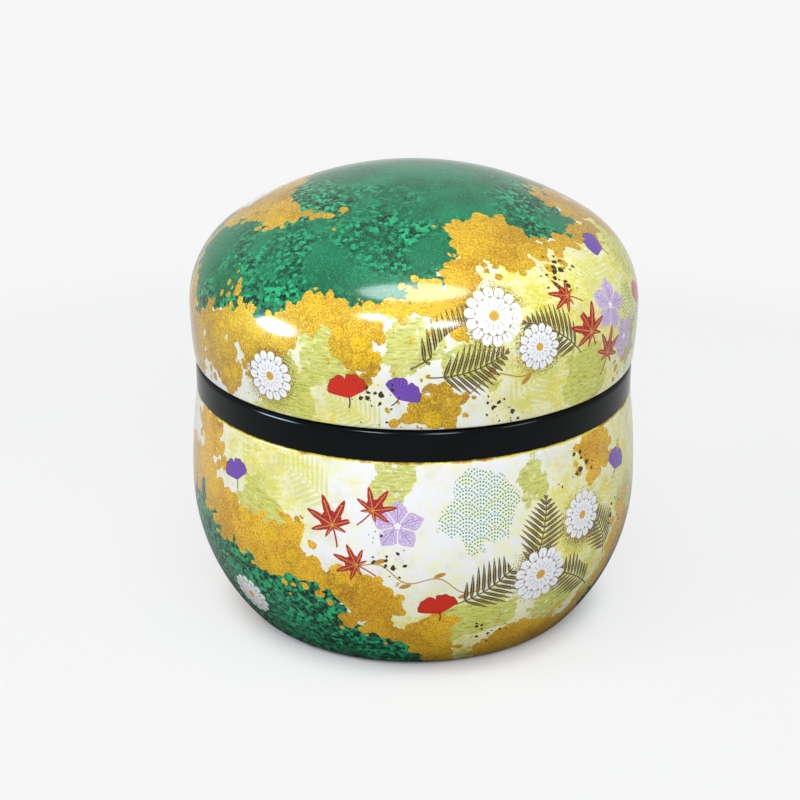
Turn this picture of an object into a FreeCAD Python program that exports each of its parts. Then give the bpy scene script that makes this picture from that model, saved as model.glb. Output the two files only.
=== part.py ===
import FreeCAD, Part
import math
import os
import Sketcher

# Jujube-shaped tea caddy: a drawn tinplate bowl and its domed lid, a moulded neck ring that snaps
# into the bowl and carries the lid, and a push-in inner lid with a pull bar, under the dome.
# Millimetres, +Z up, origin at the middle of the base.

DIMENSIONS = [
    ("rim_dia", 89.4, "outer diameter of the bowl's rolled rim and of the neck band"),
    ("tin_gauge", 0.35, "thickness of the printed tinplate"),
    ("body_height", 48.6, "height of the bowl, from the table to the top of its rolled rim"),
    ("belly_height", 28.6, "height of the bowl's widest circle"),
    ("belly_swell", 1.3, "how far the bowl's widest circle stands out past its rim"),
    ("base_dia", 64.0, "diameter where the flat foot turns up into the corner"),
    ("base_corner", 5.2, "outer radius of the corner between foot and belly"),
    ("foot_width", 4.0, "width of the flat foot that stands on the table"),
    ("panel_rise", 0.8, "how far the base panel is pressed up inside the foot"),
    ("body_curl", 0.8, "outer radius of the bowl's rolled rim"),
    ("curl_leg", 1.4, "straight tail of a rolled rim"),
    ("lid_overhang", 0.3, "how far the lid's rim stands out past the bowl's rim"),
    ("lid_swell", 0.6, "how far the lid's widest circle stands out past its own rim"),
    ("lid_height", 37.7, "height of the lid, from its rolled rim to the crown"),
    ("lid_wall", 11.5, "height of the lid's widest circle above its rim"),
    ("lid_shoulder", 18.0, "radius of the shoulder between the lid's wall and crown"),
    ("lid_curl", 0.9, "outer radius of the lid's rolled rim"),
    ("band_height", 6.2, "height of the black band that shows between lid and bowl"),
    ("band_round", 1.2, "rounding of the band's upper edge"),
    ("spigot_height", 11.0, "height of the spigot that the lid slides over"),
    ("spigot_wall", 1.5, "wall of the spigot"),
    ("root_depth", 6.5, "depth of the ring's root inside the bowl"),
    ("snap_rise", 0.45, "how far the snap ridge stands out under the bowl's rolled rim"),
    ("snap_land", 0.4, "height of the snap ridge's land"),
    ("snap_ramp", 1.2, "height of the ramp that leads onto the snap ridge"),
    ("lead_in", 0.6, "chamfer at the ends of the ring"),
    ("flange_inset", 0.5, "how far the inner lid's flange stays inside the spigot"),
    ("flange_thick", 1.4, "thickness of the inner lid's flange"),
    ("flange_chamfer", 0.4, "chamfer of the flange's upper edges"),
    ("plug_depth", 8.0, "depth of the inner lid's plug below its flange"),
    ("plug_wall", 1.2, "wall of the plug and of its floor"),
    ("plug_lead", 1.5, "chamfer that leads the plug into the spigot"),
    ("bar_length", 30.0, "length of the pull bar across the plug's floor"),
    ("bar_thick", 2.6, "thickness of the pull bar"),
    ("bar_round", 5.0, "radius of the pull bar's upper corners"),
    ("ring_clearance", 0.05, "radial and seat clearance of the ring in the bowl's rim"),
    ("snap_clearance", 0.1, "gap between the snap ridge and the tail of the rolled rim"),
    ("lid_clearance", 0.2, "radial clearance of the lid's rolled rim on the spigot"),
    ("lid_seat", 0.2, "gap between the lid's rim and the ledge of the band"),
    ("plug_clearance", 0.2, "radial clearance of the plug in the spigot"),
    ("flange_seat", 0.1, "gap between the inner lid's flange and the spigot's end"),
]

START, END, CENTRE = 1, 2, 3
LEVEL_AXIS, UPRIGHT_AXIS = -1, -2

doc = FreeCAD.newDocument("tea_caddy")
sheet = doc.addObject("Spreadsheet::Sheet", "size")
for row, (alias, value, meaning) in enumerate(DIMENSIONS, start=1):
    sheet.set(f"A{row}", meaning)
    sheet.set(f"B{row}", str(value))
    sheet.setAlias(f"B{row}", alias)
doc.recompute()

# Radii and heights that more than one piece needs, as expressions on the sheet
RIM_R = "size.rim_dia / 2"
BELLY_R = f"{RIM_R} + size.belly_swell"
BASE_R = "size.base_dia / 2"
PANEL_R = f"{BASE_R} - size.foot_width"
LID_RIM_R = f"{RIM_R} + size.lid_overhang"
LID_R = f"{LID_RIM_R} + size.lid_swell"
ROOT_R = f"{RIM_R} - 2 * size.body_curl - size.ring_clearance"
SNAP_R = f"{ROOT_R} + size.snap_rise"
SPIGOT_R = f"{LID_RIM_R} - 2 * size.lid_curl - size.lid_clearance"
BORE_R = f"{SPIGOT_R} - size.spigot_wall"
PLUG_R = f"{BORE_R} - size.plug_clearance"
PLUG_INNER_R = f"{PLUG_R} - size.plug_wall"
FLANGE_R = f"{SPIGOT_R} - size.flange_inset"

# Heights inside the neck ring, from the lower end of its root
BAND_FOOT = "size.root_depth"
BAND_TOP = f"{BAND_FOOT} + size.band_height"
SPIGOT_TOP = f"{BAND_TOP} + size.spigot_height"
CURL_TAIL = f"{BAND_FOOT} - size.ring_clearance - size.body_curl - size.curl_leg"
SNAP_TOP = f"{CURL_TAIL} - size.snap_clearance"
SNAP_LAND = f"{SNAP_TOP} - size.snap_land"
SNAP_FOOT = f"{SNAP_LAND} - size.snap_ramp"

# Heights inside the inner lid, from the underside of its floor
FLANGE_FOOT = "size.plug_depth"
FLANGE_TOP = f"{FLANGE_FOOT} + size.flange_thick"

# Heights of the pieces above the table
RING_Z = "size.body_height + size.ring_clearance - size.root_depth"
LID_Z = f"{RING_Z} + {BAND_TOP} + size.lid_seat"
INNER_LID_Z = f"{RING_Z} + {SPIGOT_TOP} + size.flange_seat - size.plug_depth"


def value_of(expression):
    """Number that an expression on the sheet stands for."""
    return float(sheet.evalExpression(expression))


def blend_radius(run, rise, small):
    """Large arc that sets out along `rise` and flows into a small arc that ends along `run`."""
    return (run ** 2 + rise ** 2 - 2 * rise * small) / (2 * (run - small))


def swell_radius(swell, height, curl):
    """Arc that leaves the widest circle upright and flows into a rolled rim."""
    return curl + (swell ** 2 + height ** 2) / (2 * swell)


class Section:
    """Outline on a body's XZ plane, where x is the radius and y the height."""

    def __init__(self, body, name):
        plane = next(item for item in body.Origin.OriginFeatures if item.Role == "XZ_Plane")
        self.body = body
        self.sketch = body.newObject("Sketcher::SketchObject", name)
        self.sketch.AttachmentSupport = [(plane, "")]
        self.sketch.MapMode = "FlatFace"

    def line(self, start, end):
        edge = Part.LineSegment(FreeCAD.Vector(*start, 0), FreeCAD.Vector(*end, 0))
        return self.sketch.addGeometry(edge)

    def arc(self, centre, radius, first, last):
        """Anticlockwise arc from the angle `first` to `last`, in radians."""
        circle = Part.Circle(FreeCAD.Vector(*centre, 0), FreeCAD.Vector(0, 0, 1), radius)
        return self.sketch.addGeometry(Part.ArcOfCircle(circle, first, last))

    def tie(self, kind, *where):
        self.sketch.addConstraint(Sketcher.Constraint(kind, *where))

    def hold(self, kind, *where, at):
        """Dimension that follows an expression on the sheet."""
        index = self.sketch.addConstraint(Sketcher.Constraint(kind, *where, value_of(at)))
        self.sketch.setExpression(f"Constraints[{index}]", at)

    def place(self, edge, point, x=None, y=None):
        """Hold a point at a radius or a height, or on an axis where that is nought."""
        for kind, axis, at in (("DistanceX", UPRIGHT_AXIS, x), ("DistanceY", LEVEL_AXIS, y)):
            if at == "0":
                self.tie("PointOnObject", edge, point, axis)
            elif at is not None:
                self.hold(kind, edge, point, at=at)

    def revolve(self, name):
        feature = self.body.newObject("PartDesign::Revolution", name)
        feature.Profile = self.sketch
        feature.ReferenceAxis = (self.sketch, ["V_Axis"])
        feature.Angle = 360

    def sheet_metal(self, edges):
        """Draw both sides of a bent sheet, one gauge apart.

        The edges run along its outer side, anticlockwise about the section, as ("line", start, end)
        or ("arc", centre, radius, first, last). The inner side lies to their left.
        """
        gauge = value_of("size.tin_gauge")
        outer, inner = [], []
        for kind, *form in edges:
            if kind == "arc":
                centre, radius, first, last = form
                outer.append(self.arc(centre, radius, first, last))
                inner.append(self.arc(centre, radius - gauge, first, last))
                self.tie("Coincident", outer[-1], CENTRE, inner[-1], CENTRE)
            else:
                (x1, y1), (x2, y2) = form
                length = math.hypot(x2 - x1, y2 - y1)
                dx, dy = -(y2 - y1) * gauge / length, (x2 - x1) * gauge / length
                outer.append(self.line((x1, y1), (x2, y2)))
                inner.append(self.line((x1 + dx, y1 + dy), (x2 + dx, y2 + dy)))
                self.tie("Parallel", outer[-1], inner[-1])
        for side in (outer, inner):
            for place, (first, second) in enumerate(zip(side, side[1:])):
                kinds = {edges[place][0], edges[place + 1][0]}
                self.tie("Tangent" if "arc" in kinds else "Coincident", first, END, second, START)
        return outer, inner

    def close_sheet(self, outer, inner, point):
        """Straight edge across the sheet's thickness, at one of its ends."""
        ends = [self.sketch.getPoint(edge, point) for edge in (outer, inner)]
        edge = self.line(*[(end.x, end.y) for end in ends])
        self.tie("Coincident", outer, point, edge, START)
        self.tie("Coincident", inner, point, edge, END)
        return edge

    def moulding(self, corners):
        """Closed outline through corners (x, y, rounding or None), all expressions on the sheet.

        Neighbouring corners share an x or a y, apart from chamfers between two sharp corners.
        """
        count = len(corners)
        spots = [(value_of(x), value_of(y)) for x, y, _ in corners]
        trims = [value_of(rounding) if rounding else 0.0 for _, _, rounding in corners]

        def towards(here, there):
            (x1, y1), (x2, y2) = spots[here], spots[there]
            share = trims[here] / math.hypot(x2 - x1, y2 - y1)
            return (x1 + (x2 - x1) * share, y1 + (y2 - y1) * share)

        lines = []
        for here in range(count):
            there = (here + 1) % count
            lines.append(self.line(towards(here, there), towards(there, here)))
        for here in range(count):
            before, after = lines[here - 1], lines[here]
            if not trims[here]:
                self.tie("Coincident", before, END, after, START)
                continue
            arrive = towards(here, (here - 1) % count)
            leave = towards(here, (here + 1) % count)
            centre = [a + b - c for a, b, c in zip(arrive, leave, spots[here])]
            first = math.atan2(arrive[1] - centre[1], arrive[0] - centre[0])
            last = math.atan2(leave[1] - centre[1], leave[0] - centre[0])
            left_turn = (last - first) % (2 * math.pi) < math.pi
            if left_turn:
                bend = self.arc(centre, trims[here], first, last)
            else:
                bend = self.arc(centre, trims[here], last, first)
            self.tie("Tangent", before, END, bend, START if left_turn else END)
            self.tie("Tangent", bend, END if left_turn else START, after, START)
            self.hold("Radius", bend, at=corners[here][2])
        for here, edge in enumerate(lines):
            (x1, y1, _), (x2, y2, _) = corners[here], corners[(here + 1) % count]
            if x1 == x2:
                self.tie("Vertical", edge)
                self.place(edge, START, x=x1)
            elif y1 == y2:
                self.tie("Horizontal", edge)
                self.place(edge, START, y=y1)
            else:
                level_before = corners[here - 1][1] == y1
                level_after = corners[(here + 2) % count][1] == y2
                self.place(edge, START, **({"x": x1} if level_before else {"y": y1}))
                self.place(edge, END, **({"x": x2} if level_after else {"y": y2}))


def new_piece(label, height=None):
    """Body with its own label, standing at a height above the table."""
    body = doc.addObject("PartDesign::Body", label)
    body.Label = label
    body.Placement = FreeCAD.Placement()
    if height:
        body.setExpression("Placement.Base.z", height)
    return body


def body_shell():
    """Bowl drawn from one sheet: pressed base panel, flat foot, belly and a rim rolled inwards."""
    rim, belly, base, panel = [value_of(r) for r in (RIM_R, BELLY_R, BASE_R, PANEL_R)]
    rise, corner = value_of("size.panel_rise"), value_of("size.base_corner")
    widest, height = value_of("size.belly_height"), value_of("size.body_height")
    curl, leg = value_of("size.body_curl"), value_of("size.curl_leg")
    lower = blend_radius(belly - base, widest, corner)
    upper = swell_radius(belly - rim, height - curl - widest, curl)
    low_angle = math.atan2(corner - widest, base - belly + lower)
    high_angle = math.atan2(height - curl - widest, rim - curl - belly + upper)

    section = Section(new_piece("body_shell"), "bowl_section")
    outer, inner = section.sheet_metal([
        ("line", (0, rise), (panel - rise, rise)),
        ("line", (panel - rise, rise), (panel, 0)),
        ("line", (panel, 0), (base, 0)),
        ("arc", (base, corner), corner, -math.pi / 2, low_angle),
        ("arc", (belly - lower, widest), lower, low_angle, 0),
        ("arc", (belly - upper, widest), upper, 0, high_angle),
        ("arc", (rim - curl, height - curl), curl, high_angle, math.pi),
        ("line", (rim - 2 * curl, height - curl), (rim - 2 * curl, height - curl - leg)),
    ])
    floor, step, foot, turn, lower_wall, _, roll, tail = outer
    section.tie("Horizontal", floor)
    section.place(floor, START, x="0", y="size.panel_rise")
    section.place(step, START, x=f"{PANEL_R} - size.panel_rise")
    section.place(step, END, x=PANEL_R, y="0")
    section.tie("Horizontal", foot)
    section.place(foot, END, x=BASE_R)
    section.hold("Radius", turn, at="size.base_corner")
    section.place(lower_wall, END, x=BELLY_R, y="size.belly_height")
    section.place(lower_wall, CENTRE, y="size.belly_height")
    section.hold("Radius", roll, at="size.body_curl")
    section.place(roll, CENTRE, x=f"{RIM_R} - size.body_curl", y="size.body_height - size.body_curl")
    section.tie("Vertical", tail)
    section.place(tail, END, y="size.body_height - size.body_curl - size.curl_leg")
    floor_in, step_in, *_, roll_in, tail_in = inner
    section.place(floor_in, START, x="0", y="size.panel_rise + size.tin_gauge")
    section.hold("Distance", step_in, START, step, at="size.tin_gauge")
    section.hold("Radius", roll_in, at="size.body_curl - size.tin_gauge")
    section.close_sheet(floor, floor_in, START)
    section.tie("Horizontal", section.close_sheet(tail, tail_in, END))
    section.revolve("bowl")


def lid_shell():
    """Domed lid drawn from one sheet: rim rolled inwards, swelling wall, shoulder and crown."""
    rim, widest_r = value_of(LID_RIM_R), value_of(LID_R)
    wall, top = value_of("size.lid_wall"), value_of("size.lid_height")
    curl, leg, shoulder = [value_of(f"size.{name}") for name in ("lid_curl", "curl_leg", "lid_shoulder")]
    crown = blend_radius(top - wall, widest_r, shoulder)
    side = swell_radius(widest_r - rim, wall - curl, curl)
    rim_angle = math.atan2(curl - wall, rim - curl - widest_r + side)
    crown_angle = math.atan2(wall - top + crown, widest_r - shoulder)

    section = Section(new_piece("lid_shell", LID_Z), "dome_section")
    outer, inner = section.sheet_metal([
        ("line", (rim - 2 * curl, curl + leg), (rim - 2 * curl, curl)),
        ("arc", (rim - curl, curl), curl, math.pi, 2 * math.pi + rim_angle),
        ("arc", (widest_r - side, wall), side, rim_angle, 0),
        ("arc", (widest_r - shoulder, wall), shoulder, 0, crown_angle),
        ("arc", (0, top - crown), crown, crown_angle, math.pi / 2),
    ])
    tail, roll, side_wall, bend, dome = outer
    section.tie("Vertical", tail)
    section.place(tail, START, y="size.lid_curl + size.curl_leg")
    section.hold("Radius", roll, at="size.lid_curl")
    section.place(roll, CENTRE, x=f"{LID_RIM_R} - size.lid_curl", y="size.lid_curl")
    section.place(side_wall, END, x=LID_R, y="size.lid_wall")
    section.place(side_wall, CENTRE, y="size.lid_wall")
    section.hold("Radius", bend, at="size.lid_shoulder")
    section.place(dome, CENTRE, x="0")
    section.place(dome, END, x="0", y="size.lid_height")
    tail_in, roll_in, *_, dome_in = inner
    section.hold("Radius", roll_in, at="size.lid_curl - size.tin_gauge")
    section.place(dome_in, END, x="0")
    section.tie("Horizontal", section.close_sheet(tail, tail_in, START))
    section.close_sheet(dome, dome_in, END)
    section.revolve("dome")


def neck_ring():
    """Moulded collar: root that snaps into the bowl, visible band, spigot for both lids."""
    section = Section(new_piece("neck_ring", RING_Z), "collar_section")
    section.moulding([
        (BORE_R, "0", None),
        (f"{ROOT_R} - size.lead_in", "0", None),
        (ROOT_R, "size.lead_in", None),
        (ROOT_R, SNAP_FOOT, None),
        (SNAP_R, SNAP_LAND, None),
        (SNAP_R, SNAP_TOP, None),
        (ROOT_R, SNAP_TOP, None),
        (ROOT_R, BAND_FOOT, None),
        (RIM_R, BAND_FOOT, None),
        (RIM_R, BAND_TOP, "size.band_round"),
        (SPIGOT_R, BAND_TOP, None),
        (SPIGOT_R, f"{SPIGOT_TOP} - size.lead_in", None),
        (f"{SPIGOT_R} - size.lead_in", SPIGOT_TOP, None),
        (BORE_R, SPIGOT_TOP, None),
    ])
    section.revolve("collar")


def inner_lid():
    """Moulded push-in lid: flange on the spigot's end, plug in its bore, pull bar across the floor."""
    body = new_piece("inner_lid", INNER_LID_Z)
    section = Section(body, "cup_section")
    section.moulding([
        ("0", "0", None),
        (f"{PLUG_R} - size.plug_lead", "0", None),
        (PLUG_R, "size.plug_lead", None),
        (PLUG_R, FLANGE_FOOT, None),
        (FLANGE_R, FLANGE_FOOT, None),
        (FLANGE_R, f"{FLANGE_TOP} - size.flange_chamfer", None),
        (f"{FLANGE_R} - size.flange_chamfer", FLANGE_TOP, None),
        (f"{PLUG_INNER_R} + size.flange_chamfer", FLANGE_TOP, None),
        (PLUG_INNER_R, f"{FLANGE_TOP} - size.flange_chamfer", None),
        (PLUG_INNER_R, "size.plug_wall", None),
        ("0", "size.plug_wall", None),
    ])
    section.revolve("cup")

    half, low, high = [value_of(e) for e in ("size.bar_length / 2", "size.plug_wall / 2", FLANGE_TOP)]
    bend = value_of("size.bar_round")
    bar = Section(body, "bar_outline")
    foot = bar.line((-half, low), (half, low))
    right = bar.line((half, low), (half, high - bend))
    right_bend = bar.arc((half - bend, high - bend), bend, 0, math.pi / 2)
    top = bar.line((half - bend, high), (bend - half, high))
    left_bend = bar.arc((bend - half, high - bend), bend, math.pi / 2, math.pi)
    left = bar.line((-half, high - bend), (-half, low))
    bar.tie("Coincident", foot, END, right, START)
    bar.tie("Tangent", right, END, right_bend, START)
    bar.tie("Tangent", right_bend, END, top, START)
    bar.tie("Tangent", top, END, left_bend, START)
    bar.tie("Tangent", left_bend, END, left, START)
    bar.tie("Coincident", left, END, foot, START)
    bar.tie("Horizontal", top)
    bar.tie("Vertical", right)
    bar.tie("Vertical", left)
    bar.tie("Symmetric", foot, START, foot, END, UPRIGHT_AXIS)
    bar.place(foot, END, x="size.bar_length / 2", y="size.plug_wall / 2")
    bar.place(top, START, y=FLANGE_TOP)
    bar.hold("Radius", right_bend, at="size.bar_round")
    bar.tie("Equal", right_bend, left_bend)
    pad = body.newObject("PartDesign::Pad", "pull_bar")
    pad.Profile = bar.sketch
    pad.setExpression("Length", "size.bar_thick")
    pad.Midplane = True


def check_and_write():
    """Stop on a failed object or a bad shape, then write each piece under its label."""
    doc.recompute()
    for item in doc.Objects:
        if "Invalid" in item.State or "Error" in item.State:
            raise RuntimeError(f"{item.Name} failed: {item.State}")
        if item.isDerivedFrom("Sketcher::SketchObject") and not item.FullyConstrained:
            raise RuntimeError(f"{item.Name} is not fully constrained")
    pieces = [item for item in doc.Objects if item.isDerivedFrom("PartDesign::Body")]
    for piece in pieces:
        if piece.Shape.isNull() or not piece.Shape.isValid() or len(piece.Shape.Solids) != 1:
            raise RuntimeError(f"{piece.Label} is not one valid solid")
    os.makedirs("parts", exist_ok=True)
    for piece in pieces:
        box = piece.Shape.optimalBoundingBox()
        piece.Shape.exportStep(f"parts/{piece.Label}.step")
        print(f"{piece.Label}: {piece.Shape.Volume:.1f} mm3, z {box.ZMin:.2f} to {box.ZMax:.2f}, "
              f"{box.XLength:.2f} mm across")


body_shell()
neck_ring()
inner_lid()
lid_shell()
check_and_write()
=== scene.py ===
# %% [markdown]
# # A jujube-shaped tea caddy
# The caddy is a drawn tinplate bowl and a domed lid, both printed and lacquered, with a black moulded
# ring between them and a push-in inner lid under the dome. The CAD frame already holds every size and
# every joint. This lesson remakes the four pieces as smooth meshes in the same place, and gives them
# their finishes.

# %% Load the frame
import math
import bpy
from mathutils import Matrix, Vector


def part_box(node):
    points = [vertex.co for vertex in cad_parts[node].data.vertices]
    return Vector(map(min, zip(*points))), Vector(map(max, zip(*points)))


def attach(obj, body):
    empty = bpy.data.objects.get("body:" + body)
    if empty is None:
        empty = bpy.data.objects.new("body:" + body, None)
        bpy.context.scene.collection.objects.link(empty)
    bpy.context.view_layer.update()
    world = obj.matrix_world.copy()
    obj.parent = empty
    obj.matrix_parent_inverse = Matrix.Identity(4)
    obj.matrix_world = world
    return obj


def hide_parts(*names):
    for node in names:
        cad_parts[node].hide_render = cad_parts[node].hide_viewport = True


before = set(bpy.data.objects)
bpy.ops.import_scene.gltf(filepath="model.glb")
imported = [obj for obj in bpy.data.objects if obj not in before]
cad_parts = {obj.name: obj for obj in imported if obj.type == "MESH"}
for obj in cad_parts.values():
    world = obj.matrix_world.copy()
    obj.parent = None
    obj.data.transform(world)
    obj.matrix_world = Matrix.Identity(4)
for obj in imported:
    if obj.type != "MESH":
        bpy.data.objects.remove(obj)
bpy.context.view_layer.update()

MM = 0.001

# %% [markdown]
# ## Camera
# The caddy is seen from a little above the lid, with a longish lens. The camera could be moved until it
# looks right. Here its distance, tilt and small roll were worked out from the ellipses of the two rims,
# so it is placed by numbers.

# %% Camera
AIM = Vector((-2.78, 0.0, 43.38)) * MM
CAMERA_DISTANCE = 450.0 * MM
CAMERA_PITCH = math.radians(21.79)
CAMERA_ROLL = math.radians(0.1)
FOCAL_PIXELS, FRAME_PIXELS, SENSOR_WIDTH = 2163.6, 800, 36.0
NEAREST_SEEN = 10.0 * MM


def deselect():
    """Leave edit mode and drop the selection, so that an operator only acts on what comes next."""
    if bpy.context.object and bpy.context.object.mode != "OBJECT":
        bpy.ops.object.mode_set(mode="OBJECT")
    bpy.ops.object.select_all(action="DESELECT")


deselect()
back = Vector((0.0, -math.cos(CAMERA_PITCH), math.sin(CAMERA_PITCH)))
bpy.ops.object.camera_add(location=AIM + back * CAMERA_DISTANCE)
camera = bpy.context.object
camera.name = "camera"
tilt = Matrix.Rotation(math.pi / 2 - CAMERA_PITCH, 3, "X")
camera.rotation_euler = (tilt @ Matrix.Rotation(CAMERA_ROLL, 3, "Z")).to_euler()
camera.data.sensor_width = SENSOR_WIDTH
camera.data.lens = FOCAL_PIXELS / FRAME_PIXELS * SENSOR_WIDTH
camera.data.clip_start = NEAREST_SEEN
bpy.context.scene.camera = camera
print("lens", round(camera.data.lens, 1), "mm")

# %% [markdown]
# ## Outlines
# All four pieces are round, so each starts as half an outline in the XZ plane. A curve object could be
# drawn and turned by a modifier. Here one vertex is extruded along the straight parts and spun round the
# centre of each bend, exactly as the tinplate is bent, so that every arc is true. Spinning the finished
# outline about Z makes the piece.

# %% Outline helpers
MERGE = 1e-6


def start_outline(name, x, z):
    """One vertex on the XZ plane, in edit mode."""
    deselect()
    bpy.ops.mesh.primitive_plane_add(size=MM, location=(x * MM, 0, z * MM))
    bpy.context.object.name = name
    bpy.ops.object.transform_apply(location=True, rotation=True, scale=True)
    bpy.ops.object.mode_set(mode="EDIT")
    bpy.ops.mesh.select_all(action="SELECT")
    bpy.ops.mesh.merge(type="CENTER")
    return Vector((x, z))


def run_through(here, corners):
    """Straight runs from the last vertex to each corner, given as radius and height."""
    for corner in map(Vector, corners):
        step = (corner - here) * MM
        bpy.ops.mesh.extrude_vertices_move(TRANSFORM_OT_translate={"value": (step.x, 0, step.y)})
        here = corner
    return here


def bend_round(here, centre, angle, steps):
    """Arc about a centre, anticlockwise for a positive angle in radians."""
    axis = (0, 1, 0) if angle > 0 else (0, -1, 0)
    middle = (centre[0] * MM, 0, centre[1] * MM)
    bpy.ops.mesh.spin(steps=steps, angle=abs(angle), center=middle, axis=axis)
    return Vector(centre) + Matrix.Rotation(angle, 2) @ (here - Vector(centre))


def close_outline():
    """Join the last vertex to the first, for an outline that stays clear of the axis."""
    bpy.ops.mesh.select_all(action="SELECT")
    bpy.ops.mesh.remove_doubles(threshold=MERGE)


print("outline helpers ready")

# %% [markdown]
# A finished outline is spun right round in many steps. The last step lands on the first, so the doubles
# are merged before the normals are turned outwards. Shading is smooth on the bends, and crisp where two
# faces meet at a sharp angle.

# %% From outline to piece
ROUND_STEPS = 192


def spin_outline():
    """Turn the outline into a round piece, and leave edit mode."""
    bpy.ops.mesh.select_all(action="SELECT")
    bpy.ops.mesh.spin(steps=ROUND_STEPS, angle=2 * math.pi, center=(0, 0, 0), axis=(0, 0, 1))
    bpy.ops.mesh.select_all(action="SELECT")
    bpy.ops.mesh.remove_doubles(threshold=MERGE)
    bpy.ops.mesh.normals_make_consistent(inside=False)
    bpy.ops.object.mode_set(mode="OBJECT")
    piece = bpy.context.object
    print(piece.name, len(piece.data.vertices), "vertices", len(piece.data.polygons), "faces")
    return piece


def make_active(piece):
    deselect()
    piece.select_set(True)
    bpy.context.view_layer.objects.active = piece


def smooth(piece, degrees=32):
    make_active(piece)
    bpy.ops.object.shade_smooth_by_angle(angle=math.radians(degrees))


print("pieces are spun in", ROUND_STEPS, "steps")

# %% [markdown]
# ## Sizes from the frame
# Each piece fills the same space as its CAD node. Every size could be typed in again, but then the two
# models could drift apart. So the radius, the lowest and the highest point of each node are read from
# the frame, in millimetres, and the cells below write down only what a box can't tell, such as a bend, a
# wall or the gap of a fit. The ring's widest part is its band, which is flush with the bowl's rim.

# %% Sizes from the frame
def measure(node):
    """Radius, lowest and highest point of a round CAD node, to a hundredth of a millimetre."""
    low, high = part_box(node)
    return [round(value / MM, 2) for value in (high.x, low.z, high.z)]


BELLY, _, BOWL_HEIGHT = measure("body_shell")
BOWL_RIM, RING_Z, RING_TOP = measure("neck_ring")
FLANGE, PLUG_Z, FLANGE_TOP = measure("inner_lid")
LID_WIDE, LID_Z, LID_TOP = measure("lid_shell")
print("radii: bowl", BELLY, "ring", BOWL_RIM, "inner lid", FLANGE, "lid", LID_WIDE, "mm")
print("tops: bowl", BOWL_HEIGHT, "ring", RING_TOP, "inner lid", FLANGE_TOP, "lid", LID_TOP, "mm")

# %% [markdown]
# ## Bowl
# The bowl is drawn from one thin sheet: a pressed panel, a flat foot, a belly of two arcs and a rim
# rolled inwards. Its bends are worked out first, so that each arc leaves the last one on a tangent, and
# the belly is upright at its widest circle.

# %% Bends of the bowl
BELLY_Z, BASE, CORNER, BOWL_CURL = 28.6, 32.0, 5.2, 0.8


def swell_radius(swell, height, curl):
    """Radius of a wall that leaves the widest circle upright and flows into a rolled rim."""
    return curl + (swell ** 2 + height ** 2) / (2 * swell)


def blend_radius(run, rise, small):
    """Radius of a wall that leaves upright and flows into a small bend that ends level."""
    return (run ** 2 + rise ** 2 - 2 * rise * small) / (2 * (run - small))


curl_z = BOWL_HEIGHT - BOWL_CURL
low_wall = blend_radius(BELLY - BASE, BELLY_Z, CORNER)
high_wall = swell_radius(BELLY - BOWL_RIM, curl_z - BELLY_Z, BOWL_CURL)
low_angle = math.atan2(CORNER - BELLY_Z, BASE - BELLY + low_wall)
high_angle = math.atan2(curl_z - BELLY_Z, BOWL_RIM - BOWL_CURL - BELLY + high_wall)
# Each bend is its centre, its first and last angle, its radius and its steps
BOWL_BENDS = [
    ((BASE, CORNER), -math.pi / 2, low_angle, CORNER, 10),
    ((BELLY - low_wall, BELLY_Z), low_angle, 0.0, low_wall, 26),
    ((BELLY - high_wall, BELLY_Z), 0.0, high_angle, high_wall, 14),
    ((BOWL_RIM - BOWL_CURL, curl_z), high_angle, math.pi, BOWL_CURL, 12),
]
print("belly arcs", round(low_wall, 1), "and", round(high_wall, 1), "mm")

# %% [markdown]
# The sheet's outer side is drawn from the middle of the base to the tail of the roll, and its inner side
# comes back round the same centres. So the wall has one thickness all the way, which a Solidify modifier
# would give too, but not with a square end on the roll.

# %% Bowl
GAUGE, CURL_LEG = 0.35, 1.4
FOOT, PANEL_RISE = 4.0, 0.8
BOWL_TAIL_Z = curl_z - CURL_LEG


def bend_along(here, bends):
    for centre, first, last, _, steps in bends:
        here = bend_round(here, centre, last - first, steps)
    return here


def backwards(bends):
    return [(centre, last, first, *rest) for centre, first, last, *rest in reversed(bends)]


step_in = BASE - FOOT
panel, panel_top = step_in - PANEL_RISE, PANEL_RISE + GAUGE
# The panel's step slants at 45 degrees, so the inner side of the sheet turns a little further out
inner_step = math.tan(math.pi / 8) * GAUGE
here = start_outline("tin_bowl", 0, PANEL_RISE)
here = run_through(here, [(step_in / 2, PANEL_RISE), (panel, PANEL_RISE), (step_in, 0), (BASE, 0)])
here = bend_along(here, BOWL_BENDS)
tail_x = here.x
here = run_through(here, [(tail_x, BOWL_TAIL_Z), (tail_x + GAUGE, BOWL_TAIL_Z), (tail_x + GAUGE, curl_z)])
here = bend_along(here, backwards(BOWL_BENDS))
run_through(here, [
    (step_in + inner_step, GAUGE), (panel + inner_step, panel_top), (step_in / 2, panel_top), (0, panel_top),
])
bowl = spin_outline()
smooth(bowl)

# %% [markdown]
# ## Lid
# The lid is drawn the same way: the roll at its rim comes first, then a wall that swells by little more
# than half a millimetre, a shoulder and a shallow crown. The shoulder and the crown share a tangent, so
# the highlight slides over the dome with no kink.

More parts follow.
